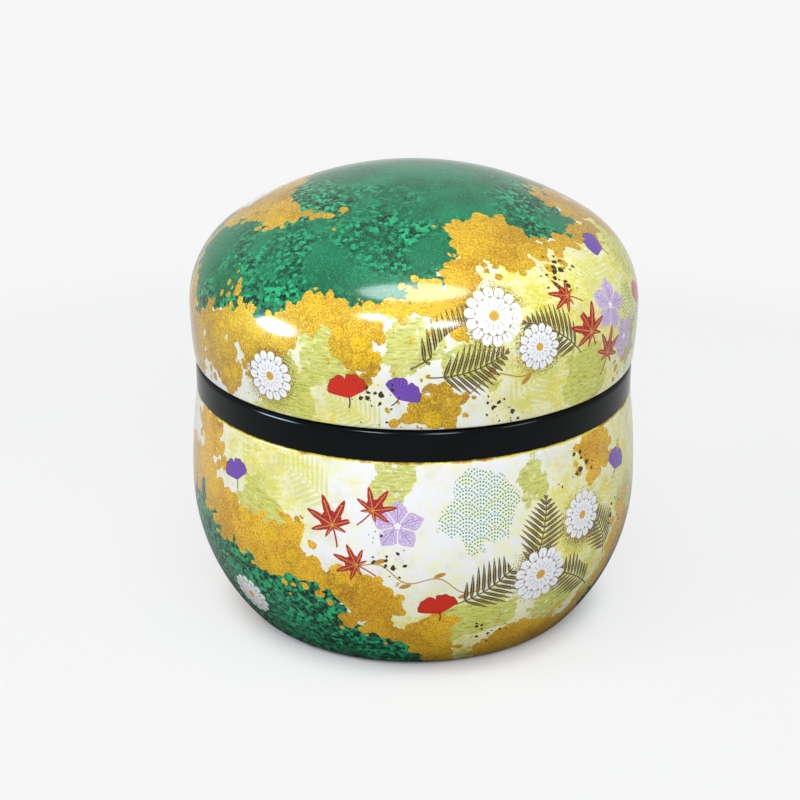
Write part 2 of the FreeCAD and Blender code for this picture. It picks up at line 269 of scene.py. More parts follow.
# %% Lid
LID_OVERHANG, LID_WALL, LID_SHOULDER, LID_CURL = 0.3, 11.5, 18.0, 0.9
LID_RIM, WIDEST_Z = BOWL_RIM + LID_OVERHANG, LID_Z + LID_WALL
crown = blend_radius(LID_TOP - WIDEST_Z, LID_WIDE, LID_SHOULDER)
wall = swell_radius(LID_WIDE - LID_RIM, LID_WALL - LID_CURL, LID_CURL)
rim_angle = math.atan2(LID_CURL - LID_WALL, LID_RIM - LID_CURL - LID_WIDE + wall)
crown_angle = math.atan2(WIDEST_Z - LID_TOP + crown, LID_WIDE - LID_SHOULDER)
LID_BENDS = [
    ((LID_RIM - LID_CURL, LID_Z + LID_CURL), math.pi, 2 * math.pi + rim_angle, LID_CURL, 12),
    ((LID_WIDE - wall, WIDEST_Z), rim_angle, 0.0, wall, 10),
    ((LID_WIDE - LID_SHOULDER, WIDEST_Z), 0.0, crown_angle, LID_SHOULDER, 18),
    ((0.0, LID_TOP - crown), crown_angle, math.pi / 2, crown, 26),
]
tail_x, tail_z = LID_RIM - 2 * LID_CURL, LID_Z + LID_CURL + CURL_LEG
here = start_outline("tin_lid", tail_x, tail_z)
here = run_through(here, [(tail_x, LID_Z + LID_CURL)])
here = bend_along(here, LID_BENDS)
here = run_through(here, [(0, LID_TOP - GAUGE)])
here = bend_along(here, backwards(LID_BENDS))
run_through(here, [(tail_x + GAUGE, tail_z), (tail_x, tail_z)])
close_outline()
lid = spin_outline()
smooth(lid)

# %% [markdown]
# ## Neck ring
# The black ring is a moulding with a root inside the bowl, the band that shows, and a spigot under the
# lid. It fits both rolled rims, so its radii and heights come from theirs and from the gap of each fit,
# as they do when such a ring is designed. A ridge on the root snaps in under the tail of the bowl's roll.

# %% Fits of the neck ring
RING_GAP, SNAP_GAP, LID_GAP, LID_SEAT = 0.05, 0.1, 0.2, 0.2
SNAP_RISE, SNAP_RAMP, SNAP_HEIGHT, SPIGOT_WALL = 0.45, 1.2, 0.4, 1.5
ROOT = BOWL_RIM - 2 * BOWL_CURL - RING_GAP
SNAP = ROOT + SNAP_RISE
SPIGOT = LID_RIM - 2 * LID_CURL - LID_GAP
BORE = SPIGOT - SPIGOT_WALL
BAND_FOOT, BAND_TOP = BOWL_HEIGHT + RING_GAP, LID_Z - LID_SEAT
SNAP_TOP = BOWL_TAIL_Z - SNAP_GAP
SNAP_LAND = SNAP_TOP - SNAP_HEIGHT
SNAP_FOOT = SNAP_LAND - SNAP_RAMP
print("root", round(ROOT, 2), "spigot", round(SPIGOT, 2), "band", round(BAND_TOP - BAND_FOOT, 2), "mm")

# %% [markdown]
# The ring could be stacked from cylinders, but one closed outline of straight runs gives it in one spin.
# Only the upper edge of the band is rounded, and that small round catches the light along the gap.

# %% Neck ring
LEAD, BAND_ROUND, BAND_STEPS = 0.6, 1.2, 12
BELOW_ROUND = [
    (ROOT - LEAD, RING_Z), (ROOT, RING_Z + LEAD), (ROOT, SNAP_FOOT), (SNAP, SNAP_LAND), (SNAP, SNAP_TOP),
    (ROOT, SNAP_TOP), (ROOT, BAND_FOOT), (BOWL_RIM, BAND_FOOT), (BOWL_RIM, BAND_TOP - BAND_ROUND),
]
ABOVE_ROUND = [
    (SPIGOT, BAND_TOP), (SPIGOT, RING_TOP - LEAD), (SPIGOT - LEAD, RING_TOP), (BORE, RING_TOP),
    (BORE, RING_Z),
]
here = start_outline("black_ring", BORE, RING_Z)
here = run_through(here, BELOW_ROUND)
here = bend_round(here, (BOWL_RIM - BAND_ROUND, BAND_TOP - BAND_ROUND), math.pi / 2, BAND_STEPS)
run_through(here, ABOVE_ROUND)
close_outline()
ring = spin_outline()
smooth(ring)

# %% [markdown]
# ## Inner lid
# Under the dome sits a milky plastic cup that plugs the ring, with a flange to rest on and a bar to pull
# it by. The cup is round, so it is spun like the rest, and it takes its radius from the ring's bore.

# %% Cup of the inner lid
PLUG_GAP, FLANGE_SEAT, FLANGE_EDGE, PLUG_WALL, PLUG_LEAD = 0.2, 0.1, 0.4, 1.2, 1.5
PLUG = BORE - PLUG_GAP
PLUG_INSIDE = PLUG - PLUG_WALL
PLUG_FLOOR, FLANGE_FOOT = PLUG_Z + PLUG_WALL, RING_TOP + FLANGE_SEAT
# One more ring of points, about halfway across the cup's floor
MIDWAY = 20.0
CUP = [
    (MIDWAY, PLUG_Z), (PLUG - PLUG_LEAD, PLUG_Z), (PLUG, PLUG_Z + PLUG_LEAD), (PLUG, FLANGE_FOOT),
    (FLANGE, FLANGE_FOOT), (FLANGE, FLANGE_TOP - FLANGE_EDGE), (FLANGE - FLANGE_EDGE, FLANGE_TOP),
    (PLUG_INSIDE + FLANGE_EDGE, FLANGE_TOP), (PLUG_INSIDE, FLANGE_TOP - FLANGE_EDGE),
    (PLUG_INSIDE, PLUG_FLOOR), (MIDWAY, PLUG_FLOOR), (0, PLUG_FLOOR),
]
here = start_outline("push_in_lid", 0, PLUG_Z)
run_through(here, CUP)
inner_lid = spin_outline()

# %% [markdown]
# The bar stands up from the cup's floor. It is a block whose two upper corners are bevelled in edit mode,
# with the edges picked by their place. Its foot is sunk into the floor, and a Boolean union moulds the
# two into one piece, where a block that only touched the floor would leave a seam.

# %% Pull bar
BAR_LENGTH, BAR_THICK, BAR_ROUND = 30.0, 2.6, 5.0
BAR_FOOT = PLUG_FLOOR - PLUG_WALL / 2
bar_middle = (BAR_FOOT + FLANGE_TOP) / 2
deselect()
bpy.ops.mesh.primitive_cube_add(size=1, location=(0, 0, bar_middle * MM))
pull_bar = bpy.context.object
pull_bar.scale = (BAR_LENGTH * MM, BAR_THICK * MM, (FLANGE_TOP - BAR_FOOT) * MM)
bpy.ops.object.transform_apply(location=True, rotation=True, scale=True)
corners = pull_bar.data.vertices
top = max(v.co.z for v in corners)
for edge in pull_bar.data.edges:
    first, second = [corners[i].co for i in edge.vertices]
    upper = abs(first.z - top) < MERGE and abs(second.z - top) < MERGE
    edge.select = upper and abs(first.x - second.x) < MERGE
bpy.ops.object.mode_set(mode="EDIT")
bpy.ops.mesh.select_mode(type="EDGE")
bpy.ops.mesh.bevel(offset=BAR_ROUND * MM, segments=10, profile=0.5)
bpy.ops.object.mode_set(mode="OBJECT")
union = inner_lid.modifiers.new("pull_bar", "BOOLEAN")
union.operation = "UNION"
union.solver = "EXACT"
union.object = pull_bar
make_active(inner_lid)
bpy.ops.object.modifier_apply(modifier=union.name)
bpy.data.objects.remove(pull_bar)
smooth(inner_lid, degrees=30)
print("inner lid with bar", len(inner_lid.data.polygons), "faces")

# %% [markdown]
# ## Shader maths
# Every finish is built from nodes that read Object coordinates, so nothing depends on an image. Nodes
# could be added and linked one by one, as in the node editor, but then a short formula takes up a page.
# Here a Wire stands for a node's output, and adds a Math node whenever it is used in a sum, so that
# shader maths is written and read as maths.

# %% Wires
class Wire:
    """A node's output. Sums and products of wires add Math nodes, and | gives the larger of two."""

    def __init__(self, node, output=0):
        self.tree = node.id_data
        self.socket = node.outputs[output]

    def __add__(self, other):
        return maths("ADD", self, other)

    def __sub__(self, other):
        return maths("SUBTRACT", self, other)

    def __rsub__(self, other):
        return maths("SUBTRACT", other, self)

    def __mul__(self, other):
        return maths("MULTIPLY", self, other)

    def __truediv__(self, other):
        return maths("DIVIDE", self, other)

    def __or__(self, other):
        return maths("MAXIMUM", self, other)

    def __abs__(self):
        return maths("ABSOLUTE", self)


def put(tree, kind, inputs=None, **settings):
    """New node with its settings, and each socket linked to a wire or set to a value."""
    node = tree.nodes.new("ShaderNode" + kind)
    for key, value in settings.items():
        setattr(node, key, value)
    for socket, value in (inputs or {}).items():
        if isinstance(value, Wire):
            tree.links.new(value.socket, node.inputs[socket])
        else:
            node.inputs[socket].default_value = value
    return node


def tree_of(values):
    """Node tree of the first wire among some values."""
    return next(value.tree for value in values if isinstance(value, Wire))


def maths(operation, *values, clamp=False):
    sockets = dict(enumerate(values))
    return Wire(put(tree_of(values), "Math", sockets, operation=operation, use_clamp=clamp))


print("wires ready")

# %% [markdown]
# Points on the tin are vectors in millimetres. A Vector Math node works on them, and a length or a
# distance comes out as a plain value. Splitting a point gives its three coordinates as wires.

# %% Points
def vectors(operation, *values, **scale):
    sockets = {**dict(enumerate(values)), **scale}
    node = put(tree_of(values), "VectorMath", sockets, operation=operation)
    return Wire(node, "Value" if operation in ("LENGTH", "DISTANCE") else "Vector")


def length(point):
    return vectors("LENGTH", point)


def split(point):
    node = put(point.tree, "SeparateXYZ", {0: point})
    return [Wire(node, axis) for axis in range(3)]


def flat(x, y):
    return Wire(put(tree_of((x, y)), "CombineXYZ", {0: x, 1: y}))


def millimetres(tree):
    """Object coordinates in millimetres."""
    return vectors("SCALE", Wire(put(tree, "TexCoord"), "Object"), Scale=1000.0)


print("point helpers ready")

# %% [markdown]
# ## Colour and texture
# Ink goes on in layers: each has a mask and a colour, and covers what was there. Masks come from noise
# and from Voronoi cells, cut softly between two levels. Colours are written as on screen, and turned
# into the linear values that a shader works in.

# %% Colour and texture
def hue(text):
    """Linear colour from a written sRGB one."""
    parts = [int(text[i:i + 2], 16) / 255 for i in (1, 3, 5)]
    return tuple(p / 12.92 if p <= 0.04045 else ((p + 0.055) / 1.055) ** 2.4 for p in parts) + (1.0,)


def blend(share, *colours):
    """Mix of two colours, each a wire, linear values or a written colour."""
    a, b = [hue(colour) if isinstance(colour, str) else colour for colour in colours]
    return Wire(put(share.tree, "Mix", {0: share, 6: a, 7: b}, data_type="RGBA"), 2)


def cover(colour, *layers):
    """Colour with layers over it in turn, each a mask and its colour."""
    for mask, tint in layers:
        colour = blend(mask, colour, tint)
    return colour


def noise_node(point, scale, detail=2.0, roughness=0.5, warp=0.0):
    return put(point.tree, "TexNoise", {
        "Vector": point, "Scale": scale, "Detail": detail, "Roughness": roughness, "Distortion": warp})


def noise(point, *settings):
    return Wire(noise_node(point, *settings))


def cells(point, scale):
    return put(point.tree, "TexVoronoi", {"Vector": point, "Scale": scale})


def cell_lot(node):
    """A number drawn for each Voronoi cell, from 0 to 1."""
    return Wire(put(node.id_data, "SeparateColor", {0: Wire(node, "Color")}))


def between(value, low, high):
    """0 at low, 1 at high, soft in between. The first may be the larger."""
    sockets = {"Value": value, "From Min": low, "From Max": high}
    return Wire(put(value.tree, "MapRange", sockets, interpolation_type="SMOOTHSTEP"))


def choose(share, a, b):
    """Second of two vectors where the share is 1, and the first where it is 0."""
    return Wire(put(share.tree, "Mix", {0: share, 4: a, 5: b}, data_type="VECTOR"), 1)


print("colour and texture helpers ready")

# %% [markdown]
# ## Node groups
# Bowl and lid are printed with the same inks, so each ink or drawing is built once, as a node group with
# named sockets, and placed in both materials. Making a group gives its inputs as wires and a function
# that links its outputs.

# %% Node groups
def group_of(name, inputs, outputs):
    tree = bpy.data.node_groups.new(name, "ShaderNodeTree")
    for side, sockets in (("INPUT", inputs), ("OUTPUT", outputs)):
        for label, kind in sockets.items():
            tree.interface.new_socket(label, in_out=side, socket_type="NodeSocket" + kind)
    source = tree.nodes.new("NodeGroupInput")
    sink = tree.nodes.new("NodeGroupOutput")

    def hand_out(**wires):
        for label, wire in wires.items():
            tree.links.new(wire.socket, sink.inputs[label])
        print("group", name, len(tree.nodes), "nodes")
        return tree

    return [Wire(source, label) for label in inputs], hand_out


def use(group, **inputs):
    """Place a group where its wires come from, and give its outputs by name."""
    node = put(tree_of(inputs.values()), "Group", inputs, node_tree=group)
    return {socket.name: Wire(node, socket.name) for socket in node.outputs}


print("group helpers ready")

# %% [markdown]
# ## Torn edges
# Gold leaf and thick colour end in ragged, lobed edges with small islands. The group takes a field that
# is positive inside a cloud, in millimetres, and roughens it with broad noise, rounded Voronoi flakes
# and fine fuzz before it is cut. One group gives all the clouds, so their edges look alike.

# %% Torn edges
FUZZ, CUT = 1.6, 0.06
(point, field, broad, flakes), hand_out = group_of(
    "torn_edge", dict(Point="Vector", Field="Float", Broad="Float", Flakes="Float"),
    dict(Mask="Float", Depth="Float"))
depth = field + (noise(point, 0.16, 5.0, 0.62) - 0.5) * broad
depth = depth + (0.55 - Wire(cells(point, 0.42), "Distance")) * flakes
depth = depth + (noise(point, 1.6, 3.0, 0.6) - 0.5) * FUZZ
torn_edge = hand_out(Mask=between(depth, -CUT, CUT), Depth=depth)

# %% [markdown]
# ## Places on a shell
# A printer's layout needs places on the curved sheet. UV coordinates would stretch on the dome, so a
# place is given as an azimuth from the front, in degrees, and a distance along the sheet from its rim,
# in millimetres. Walking along the bends finds the point there and which way the sheet faces.

# %% Places on a shell
ARC_STEPS = 40


def walk(bends):
    """Points along bends as distance, radius, height and the angle of the outward normal."""
    path, gone = [], 0.0
    for centre, first, last, radius, _ in bends:
        for step in range(ARC_STEPS + 1):
            angle = first + (last - first) * step / ARC_STEPS
            x = centre[0] + radius * math.cos(angle)
            z = centre[1] + radius * math.sin(angle)
            if path:
                gone += math.hypot(x - path[-1][1], z - path[-1][2])
            path.append((gone, x, z, angle))
    return path


def seat(path, azimuth, distance, turn=0.0):
    """Point of a place, and the turn of a stamp that lies flat there."""
    _, radius, height, angle = min(path, key=lambda spot: abs(spot[0] - distance))
    a = math.radians(azimuth)
    outward = Vector((math.sin(a), -math.cos(a), 0))
    normal = outward * math.cos(angle) + Vector((0, 0, math.sin(angle)))
    across = Vector((math.cos(a), math.sin(a), 0))
    lying = Matrix((across, normal.cross(across), normal)).transposed()
    turned = lying @ Matrix.Rotation(math.radians(turn), 3, "Z")
    return outward * radius + Vector((0, 0, height)), turned.to_euler("XYZ")


LID_PATH = walk(LID_BENDS[1:])
BOWL_PATH = walk(backwards(BOWL_BENDS[:3]))
print("outlines", round(LID_PATH[-1][0], 1), "mm on the lid,", round(BOWL_PATH[-1][0], 1), "mm on the bowl")

# %% [markdown]
# ## Stamps and blobs
# Each printed leaf or flower is drawn once, in a unit circle, and stamped many times. A stamp turns the
# point into the circle's own flat coordinates, and hands on the coordinates of whichever stamp the point
# is inside. So a drawing is worked out once, however often it is used. Clouds of colour gather in blobs,
# each with a radius, and their field is how deep a point lies in the nearest one.

# %% Stamps and blobs
# Coordinates of a point that is in no stamp, well outside every drawing
FAR = (9.0, 9.0, 9.0)
(point, before, place, turn, size), hand_out = group_of(
    "stamp", dict(Point="Vector", Before="Vector", Place="Vector", Turn="Vector", Size="Vector"),
    dict(Local="Vector"))
local = Wire(put(point.tree, "Mapping", {
    "Vector": point, "Location": place, "Rotation": turn, "Scale": size}, vector_type="TEXTURE"))
inside = maths("LESS_THAN", length(local), 1.0)
stamp = hand_out(Local=choose(inside, before, local))


def stamp_all(mm, path, places):
    """Chain of stamps. Each place is azimuth, distance from the rim, turn and size."""
    local = FAR
    for azimuth, distance, turn, size in places:
        spot, euler = seat(path, azimuth, distance, turn)
        local = use(stamp, Point=mm, Before=local, Place=spot, Turn=euler, Size=(size,) * 3)["Local"]
    return local


def depth_in(point, path, blobs):
    """How deep a point lies in the nearest blob. Each is azimuth, distance from the rim and radius."""
    deepest = None
    for azimuth, distance, radius in blobs:
        reach = radius - vectors("DISTANCE", point, seat(path, azimuth, distance)[0])
        deepest = reach if deepest is None else deepest | reach
    return deepest


print("stamps and blobs ready")

# %% [markdown]
# ## Emerald
# The green ink is deep and even on the crown, with a fine sparkle. Towards its edges it breaks into
# small chips, some dark and some bright, like crushed shell. Noise alone would give soft marbling, so it
# is read at the middle of each Voronoi cell, and every chip gets one flat shade.

# %% Emerald
(point, depth, flecked), hand_out = group_of(
    "emerald", dict(Point="Vector", Depth="Float", Flecked="Float"), dict(Color="Color"))
sparkle = noise(point, 3.4, 2.0, 0.6)
chip = noise(Wire(cells(point, 1.5), "Position"), 0.95, 2.0, 0.55, 0.6)
patchy = between(noise(point, 0.07) + flecked, 0.42, 0.6)
deep = between(depth - flecked * 40.0, 6.0, 20.0)
chipped = maths("SUBTRACT", patchy, deep, clamp=True)
ground = blend(between(noise(point, 0.09, 4.0, 0.6), 0.3, 0.7), "#0f5f3d", "#1a7f57")
emerald = hand_out(Color=cover(
    ground,
    (between(chip, 0.535, 0.58) * chipped, "#26b474"),
    (between(chip, 0.49, 0.45) * chipped, "#041b14"),
    (between(sparkle, 0.52, 0.70) * 0.45, "#45b686"),
    (between(sparkle, 0.48, 0.30) * 0.45, "#0a3f2d")))

# %% [markdown]
# ## Gold leaf
# Gold is a mixed shade on the real print: dull and bright patches, a few browned ones, round drops of
# brighter gold, and a grain of fine flakes that also stands up a little. The grain goes out of the group
# by itself, for the bump. The two main shades are inputs, because the bowl's gold is painted lighter than
# the lid's, as painted light on the lower bowl, where its leaf would mirror the bright floor.

# %% Gold leaf
(point, dull, bright), hand_out = group_of(
    "gold_leaf", dict(Point="Vector", Dull="Color", Bright="Color"), dict(Color="Color", Grain="Float"))
grain = noise(point, 2.9, 2.0, 0.7)
drops = cells(point, 0.3)
drop = between(cell_lot(drops) * 0.62 - Wire(drops, "Distance"), 0.0, 0.12)
some_places = between(noise(point, 0.09), 0.5, 0.6)
browned = between(noise(point, 0.11, 5.0, 0.7), 0.55, 0.68)
gold_leaf = hand_out(Grain=grain, Color=cover(
    blend(between(noise(point, 0.13, 4.0, 0.6), 0.36, 0.62), dull, bright),
    (browned * 0.6, "#9c6216"),
    (drop * some_places * 0.75, "#e8be16"),
    (between(grain, 0.48, 0.34) * 0.7, "#946a0c"),
    (between(grain, 0.52, 0.66) * 0.8, "#f3d53c")))

# %% [markdown]
# ## Washes
# The pale ground runs from white through cream to yellow, mottled like colour sponged on paper. One
# amount drives all the shades, and noise of three kinds is added to it, one of them drawn out sideways
# into streaks. A greyish mist lies over some of it.

# %% Washes
STREAKED = (0.25, 0.25, 1.8)
(point, tint), hand_out = group_of("wash_tint", dict(Point="Vector", Tint="Float"), dict(Color="Color"))
amount = tint + (noise(point, 0.3, 5.0, 0.68) - 0.5) * 2.2
amount = amount + (noise(point, 2.4, 3.0, 0.7) - 0.5) * 1.7
amount = amount + (noise(vectors("MULTIPLY", point, STREAKED), 0.7, 3.0, 0.6) - 0.5) * 1.1
wash_tint = hand_out(Color=cover(
    blend(between(amount, -0.1, 0.4), "#f1f2f4", "#f1f1cf"),
    (between(amount, 0.5, 1.0), "#ece57c"),
    (between(amount, 1.0, 1.5), "#dbd04c"),
    (between(noise(point, 0.13, 5.0, 0.65), 0.48, 0.68) * 0.4, "#d3cda8")))

# %% [markdown]
# ## Drawing helpers
# Leaves and flowers are drawn in a unit circle, by how far the edge is from the middle at each angle.
# Folding the angle makes equal petals from one. A Float Curve holds an outline that has no simple
# formula. Every drawing gives a body, its lines and a heart, each as a mask.

# %% Drawing helpers
def polar(local, middle_y=0.0):
    """Distance and angle of a flat point about a middle, the angle from straight up, and its x and y."""
    centred = vectors("SUBTRACT", local, (0.0, middle_y, 0.0))
    on_sheet = vectors("MULTIPLY", centred, (1.0, 1.0, 0.0))
    x, y, _ = split(on_sheet)
    return length(on_sheet), maths("ARCTAN2", x, y), x, y


def fold(angle, period):
    """Angle from the middle of the nearest petal."""
    return abs(maths("WRAP", angle, period / 2, -period / 2))


def outline(value, points):
    """Float Curve through points from 0 to 1, straight between them."""
    node = put(value.tree, "FloatCurve", {"Value": value})
    curve = node.mapping.curves[0]
    curve.points[0].location, curve.points[1].location = points[0], points[-1]
    for spot in points[1:-1]:
        curve.points.new(*spot)
    for knot in curve.points:
        knot.handle_type = "VECTOR"
    node.mapping.update()
    return Wire(node)


def below(value, limit, soft=0.02):
    """1 where a value is under a limit, with a thin soft edge."""
    return maths("MULTIPLY_ADD", limit - value, 1.0 / soft, 0.5, clamp=True)


def drawing(name):
    masks = dict(Body="Float", Line="Float", Heart="Float")
    (local,), hand_out = group_of(name, dict(Local="Vector"), masks)
    return local, hand_out


print("drawing helpers ready")

# %% [markdown]
# ### Maple leaf
# Seven pointed lobes, alike on both sides, so the curve runs over half a turn. Each lobe falls away from
# its tip by the same few shares, and a bowed stalk hangs below.

# %% Maple leaf
LOBES = [(0, 1.0), (45, 0.93), (90, 0.74), (132, 0.48)]
LOBE_FLANK = [(3, 0.93), (6, 0.80), (10, 0.66), (15, 0.47)]
lobe_edge = {0: 1.0, 180: 0.08}
for middle, tip in LOBES:
    lobe_edge[middle] = tip
    for off, share in LOBE_FLANK:
        lobe_edge[abs(middle - off)] = tip * share
        lobe_edge[middle + off] = tip * share
local, hand_out = drawing("maple_leaf")
r, angle, x, y = polar(local)
reach = outline(abs(angle) / math.pi, [(a / 180, lobe_edge[a]) for a in sorted(lobe_edge)])
vein = below(fold(angle, math.pi / 4) * r, 0.012, 0.012) * below(r, reach * 0.82)
stalk = below(abs(x + y * y * 0.18), 0.03) * below(y, -0.05) * below(-0.85, y)
maple_leaf = hand_out(Body=below(r, reach) | stalk, Line=vein)

# %% [markdown]
# ### Bellflower
# Five broad petals with a thin gap between them, a vein down each and a shorter one on either side. The
# pale heart is a small star.

# %% Bellflower
FIFTH = 2 * math.pi / 5
PETAL_EDGE = [(0, 1), (0.06, 0.95), (0.25, 0.86), (0.5, 0.79), (0.78, 0.72), (0.93, 0.62), (1, 0.5)]
local, hand_out = drawing("bellflower")
r, angle, _, _ = polar(local)
lean = fold(angle, FIFTH)
share = lean / (FIFTH / 2)
gap = below((FIFTH / 2 - lean) * r, 0.02) * below(0.16, r)
aside = lean * r
vein = below(aside, 0.011, 0.012) * below(r, 0.84) * below(0.14, r)
side_vein = below(abs(aside - r * 0.2), 0.008, 0.012) * below(r, 0.66) * below(0.3, r)
bellflower = hand_out(
    Body=below(r, outline(share, PETAL_EDGE)) * (1.0 - gap), Line=vein | side_vein,
    Heart=below(r, 0.15 - share * 0.06))

# %% [markdown]
# ### Chrysanthemum
# Two rings of strap petals with round tips, the front ring turned by half a petal, so that its gaps show
# the back ring. Each petal has a crease, and the heart's edge is a little wavy.

# %% Chrysanthemum
PETAL = 2 * math.pi / 14
local, hand_out = drawing("chrysanthemum")
r, angle, _, _ = polar(local)


def petal_ring(angle, tip, width):
    """Body of a ring, and the crease along each petal."""
    lean = fold(angle, PETAL)
    side, forward = maths("SINE", lean) * r, maths("COSINE", lean) * r
    past_tip = (forward - tip) | 0.0
    from_strap = maths("SQRT", side * side + past_tip * past_tip)
    body = below(from_strap, maths("MINIMUM", forward, tip) * width + 0.012)
    return body, below(side, 0.009, 0.012) * below(forward, tip) * below(0.25, r)


back_ring, back_crease = petal_ring(angle, 0.80, 0.185)
front_ring, front_crease = petal_ring(angle + PETAL / 2, 0.52, 0.20)
front_gap = below(r, 0.64) * (1.0 - front_ring) * back_ring * below(0.2, r)
creases = back_crease * below(0.66, r) | front_crease * below(r, 0.45)
heart = below(r, maths("SINE", angle * 11.0) * 0.02 + 0.17)
chrysanthemum = hand_out(Body=back_ring | front_ring | heart, Line=creases | front_gap, Heart=heart)

# %% [markdown]
# ### Fern frond
# One leaflet is repeated along a bowed rib. Rounding the height to the pitch finds the nearest leaflet,
# and a curve over the frond's length says how far that leaflet reaches.

# %% Fern frond
LEAFLET_PITCH, FROND_WIDTH = 0.135, 0.62
FROND_EDGE = [
    (0, 0), (0.1, 0), (0.16, 0.7), (0.3, 1), (0.5, 0.86), (0.72, 0.5), (0.88, 0.2), (0.93, 0), (1, 0),
]
local, hand_out = drawing("fern_frond")
_, _, x, y = polar(local)
aside = abs(x + y * y * 0.16)
rise = y - aside * 0.62
leaflet_y = maths("ROUND", rise / LEAFLET_PITCH) * LEAFLET_PITCH
reach = outline(leaflet_y * 0.5 + 0.5, FROND_EDGE) * FROND_WIDTH
along = aside / (reach | 0.001)
swell = maths("SINE", maths("POWER", along, 0.7) * math.pi)
off_middle = abs(rise - leaflet_y)
leaflet = below(off_middle, swell * 0.044 + 0.006) * below(along, 1.0)
rib = below(aside, 0.016) * below(y, 0.86) * below(-0.98, y)
vein = leaflet * below(off_middle, 0.007, 0.008) * below(0.1, along) * below(along, 0.8)
fern_frond = hand_out(Body=leaflet | rib, Line=vein)

# %% [markdown]
# ### Ginkgo leaf
# A fan with a notch in the middle of its rippled edge, ribs that spread from the stalk, and a dark
# outline.

# %% Ginkgo leaf
FAN_EDGE = [
    (0, 0.74), (0.035, 0.86), (0.09, 0.93), (0.3, 0.96), (0.55, 0.93), (0.72, 0.88), (0.78, 0.80),
    (0.80, 0.62), (0.82, 0.30), (0.88, 0.12), (1, 0.03),
]
local, hand_out = drawing("ginkgo_leaf")
r, angle, x, y = polar(local, -0.38)
lean = abs(angle)
ripple = maths("SINE", angle * 17.0) * 0.025 * below(lean, 1.1)
reach = outline(lean / (math.pi / 2), FAN_EDGE) * 1.28 + ripple
fan = below(r, reach)
rib = below(maths("PINGPONG", angle + 4.0, 0.11), 0.018, 0.03) * below(0.35, r) * below(r, 1.1) * fan
fan_edge = fan * below(reach - r, 0.05)
stalk = below(abs(x + y * y * 0.5), 0.04) * below(y, 0.2) * below(-0.52, y)
ginkgo_leaf = hand_out(Body=fan | stalk, Line=rib | fan_edge | stalk)

# %% [markdown]
# ### Wave scales
# Overlapping half circles, each of four dotted rings: an old weaver's pattern of waves. A point belongs
# to the lowest scale that covers it, so three rows are tried, from the highest to the lowest. The patch
# fades out raggedly.

# %% Wave scales
SCALES, RINGS, DOT_PITCH, DOT = 4.2, 4, 0.21, 0.066
local, hand_out = drawing("wave_scales")
x, y, _ = split(vectors("SCALE", vectors("MULTIPLY", local, (1.0, 1.0, 0.0)), Scale=SCALES))
lowest_row = maths("CEIL", (y - 1.0) * 2.0)


def spoke_in(row):
    """Line from the middle of the nearest scale in a row."""
    return flat(maths("WRAP", x + row, 1.0, -1.0), y - row * 0.5)


spoke = spoke_in(lowest_row + 2.0)
for row_up in (1.0, 0.0):
    lower = spoke_in(lowest_row + row_up)
    spoke = choose(maths("LESS_THAN", length(lower), 1.0), spoke, lower)
far = length(spoke)
spoke_x, spoke_y, _ = split(spoke)
ring_middle = (maths("FLOOR", far * RINGS) + 0.5) / RINGS
sweep = maths("WRAP", maths("ARCTAN2", spoke_x, spoke_y) * ring_middle, DOT_PITCH / 2, -DOT_PITCH / 2)
to_dot = length(flat(sweep, far - ring_middle))
fade = between(noise(local, 1.7, 4.0, 0.6) * 1.3 + length(local), 1.45, 1.15)
wave_scales = hand_out(Body=below(to_dot, DOT, 0.03) * between(fade, 0.4, 0.6))

# %% [markdown]
# ### Trailing vine
# A stalk in a gentle wave with a small slanting leaf on each bend.

# %% Trailing vine
VINE_WAVE, VINE_LEAF = 0.42, 0.075
local, hand_out = drawing("trailing_vine")
x, y, _ = split(local)
wave = maths("SINE", x * (math.pi / VINE_WAVE)) * 0.085
stalk = below(abs(y - wave), 0.010, 0.012)
from_bend = maths("WRAP", x + VINE_WAVE / 2, VINE_WAVE / 2, -VINE_WAVE / 2)
leaf_y = y - maths("SIGN", wave) * 0.14 - from_bend * 0.5
leaf = below(length(flat(from_bend, leaf_y * 2.0)), VINE_LEAF)
trailing_vine = hand_out(Body=(stalk | leaf) * below(abs(x), 0.9))

# %% [markdown]
# ## Layout of the print
# A printer lays out each sheet before it is pressed. Blobs are azimuth, distance from the rim and radius,
# and stamps are azimuth, distance, turn and size. The front is the fullest, and sides and back carry on
# in the same manner, because the caddy is looked at all round.

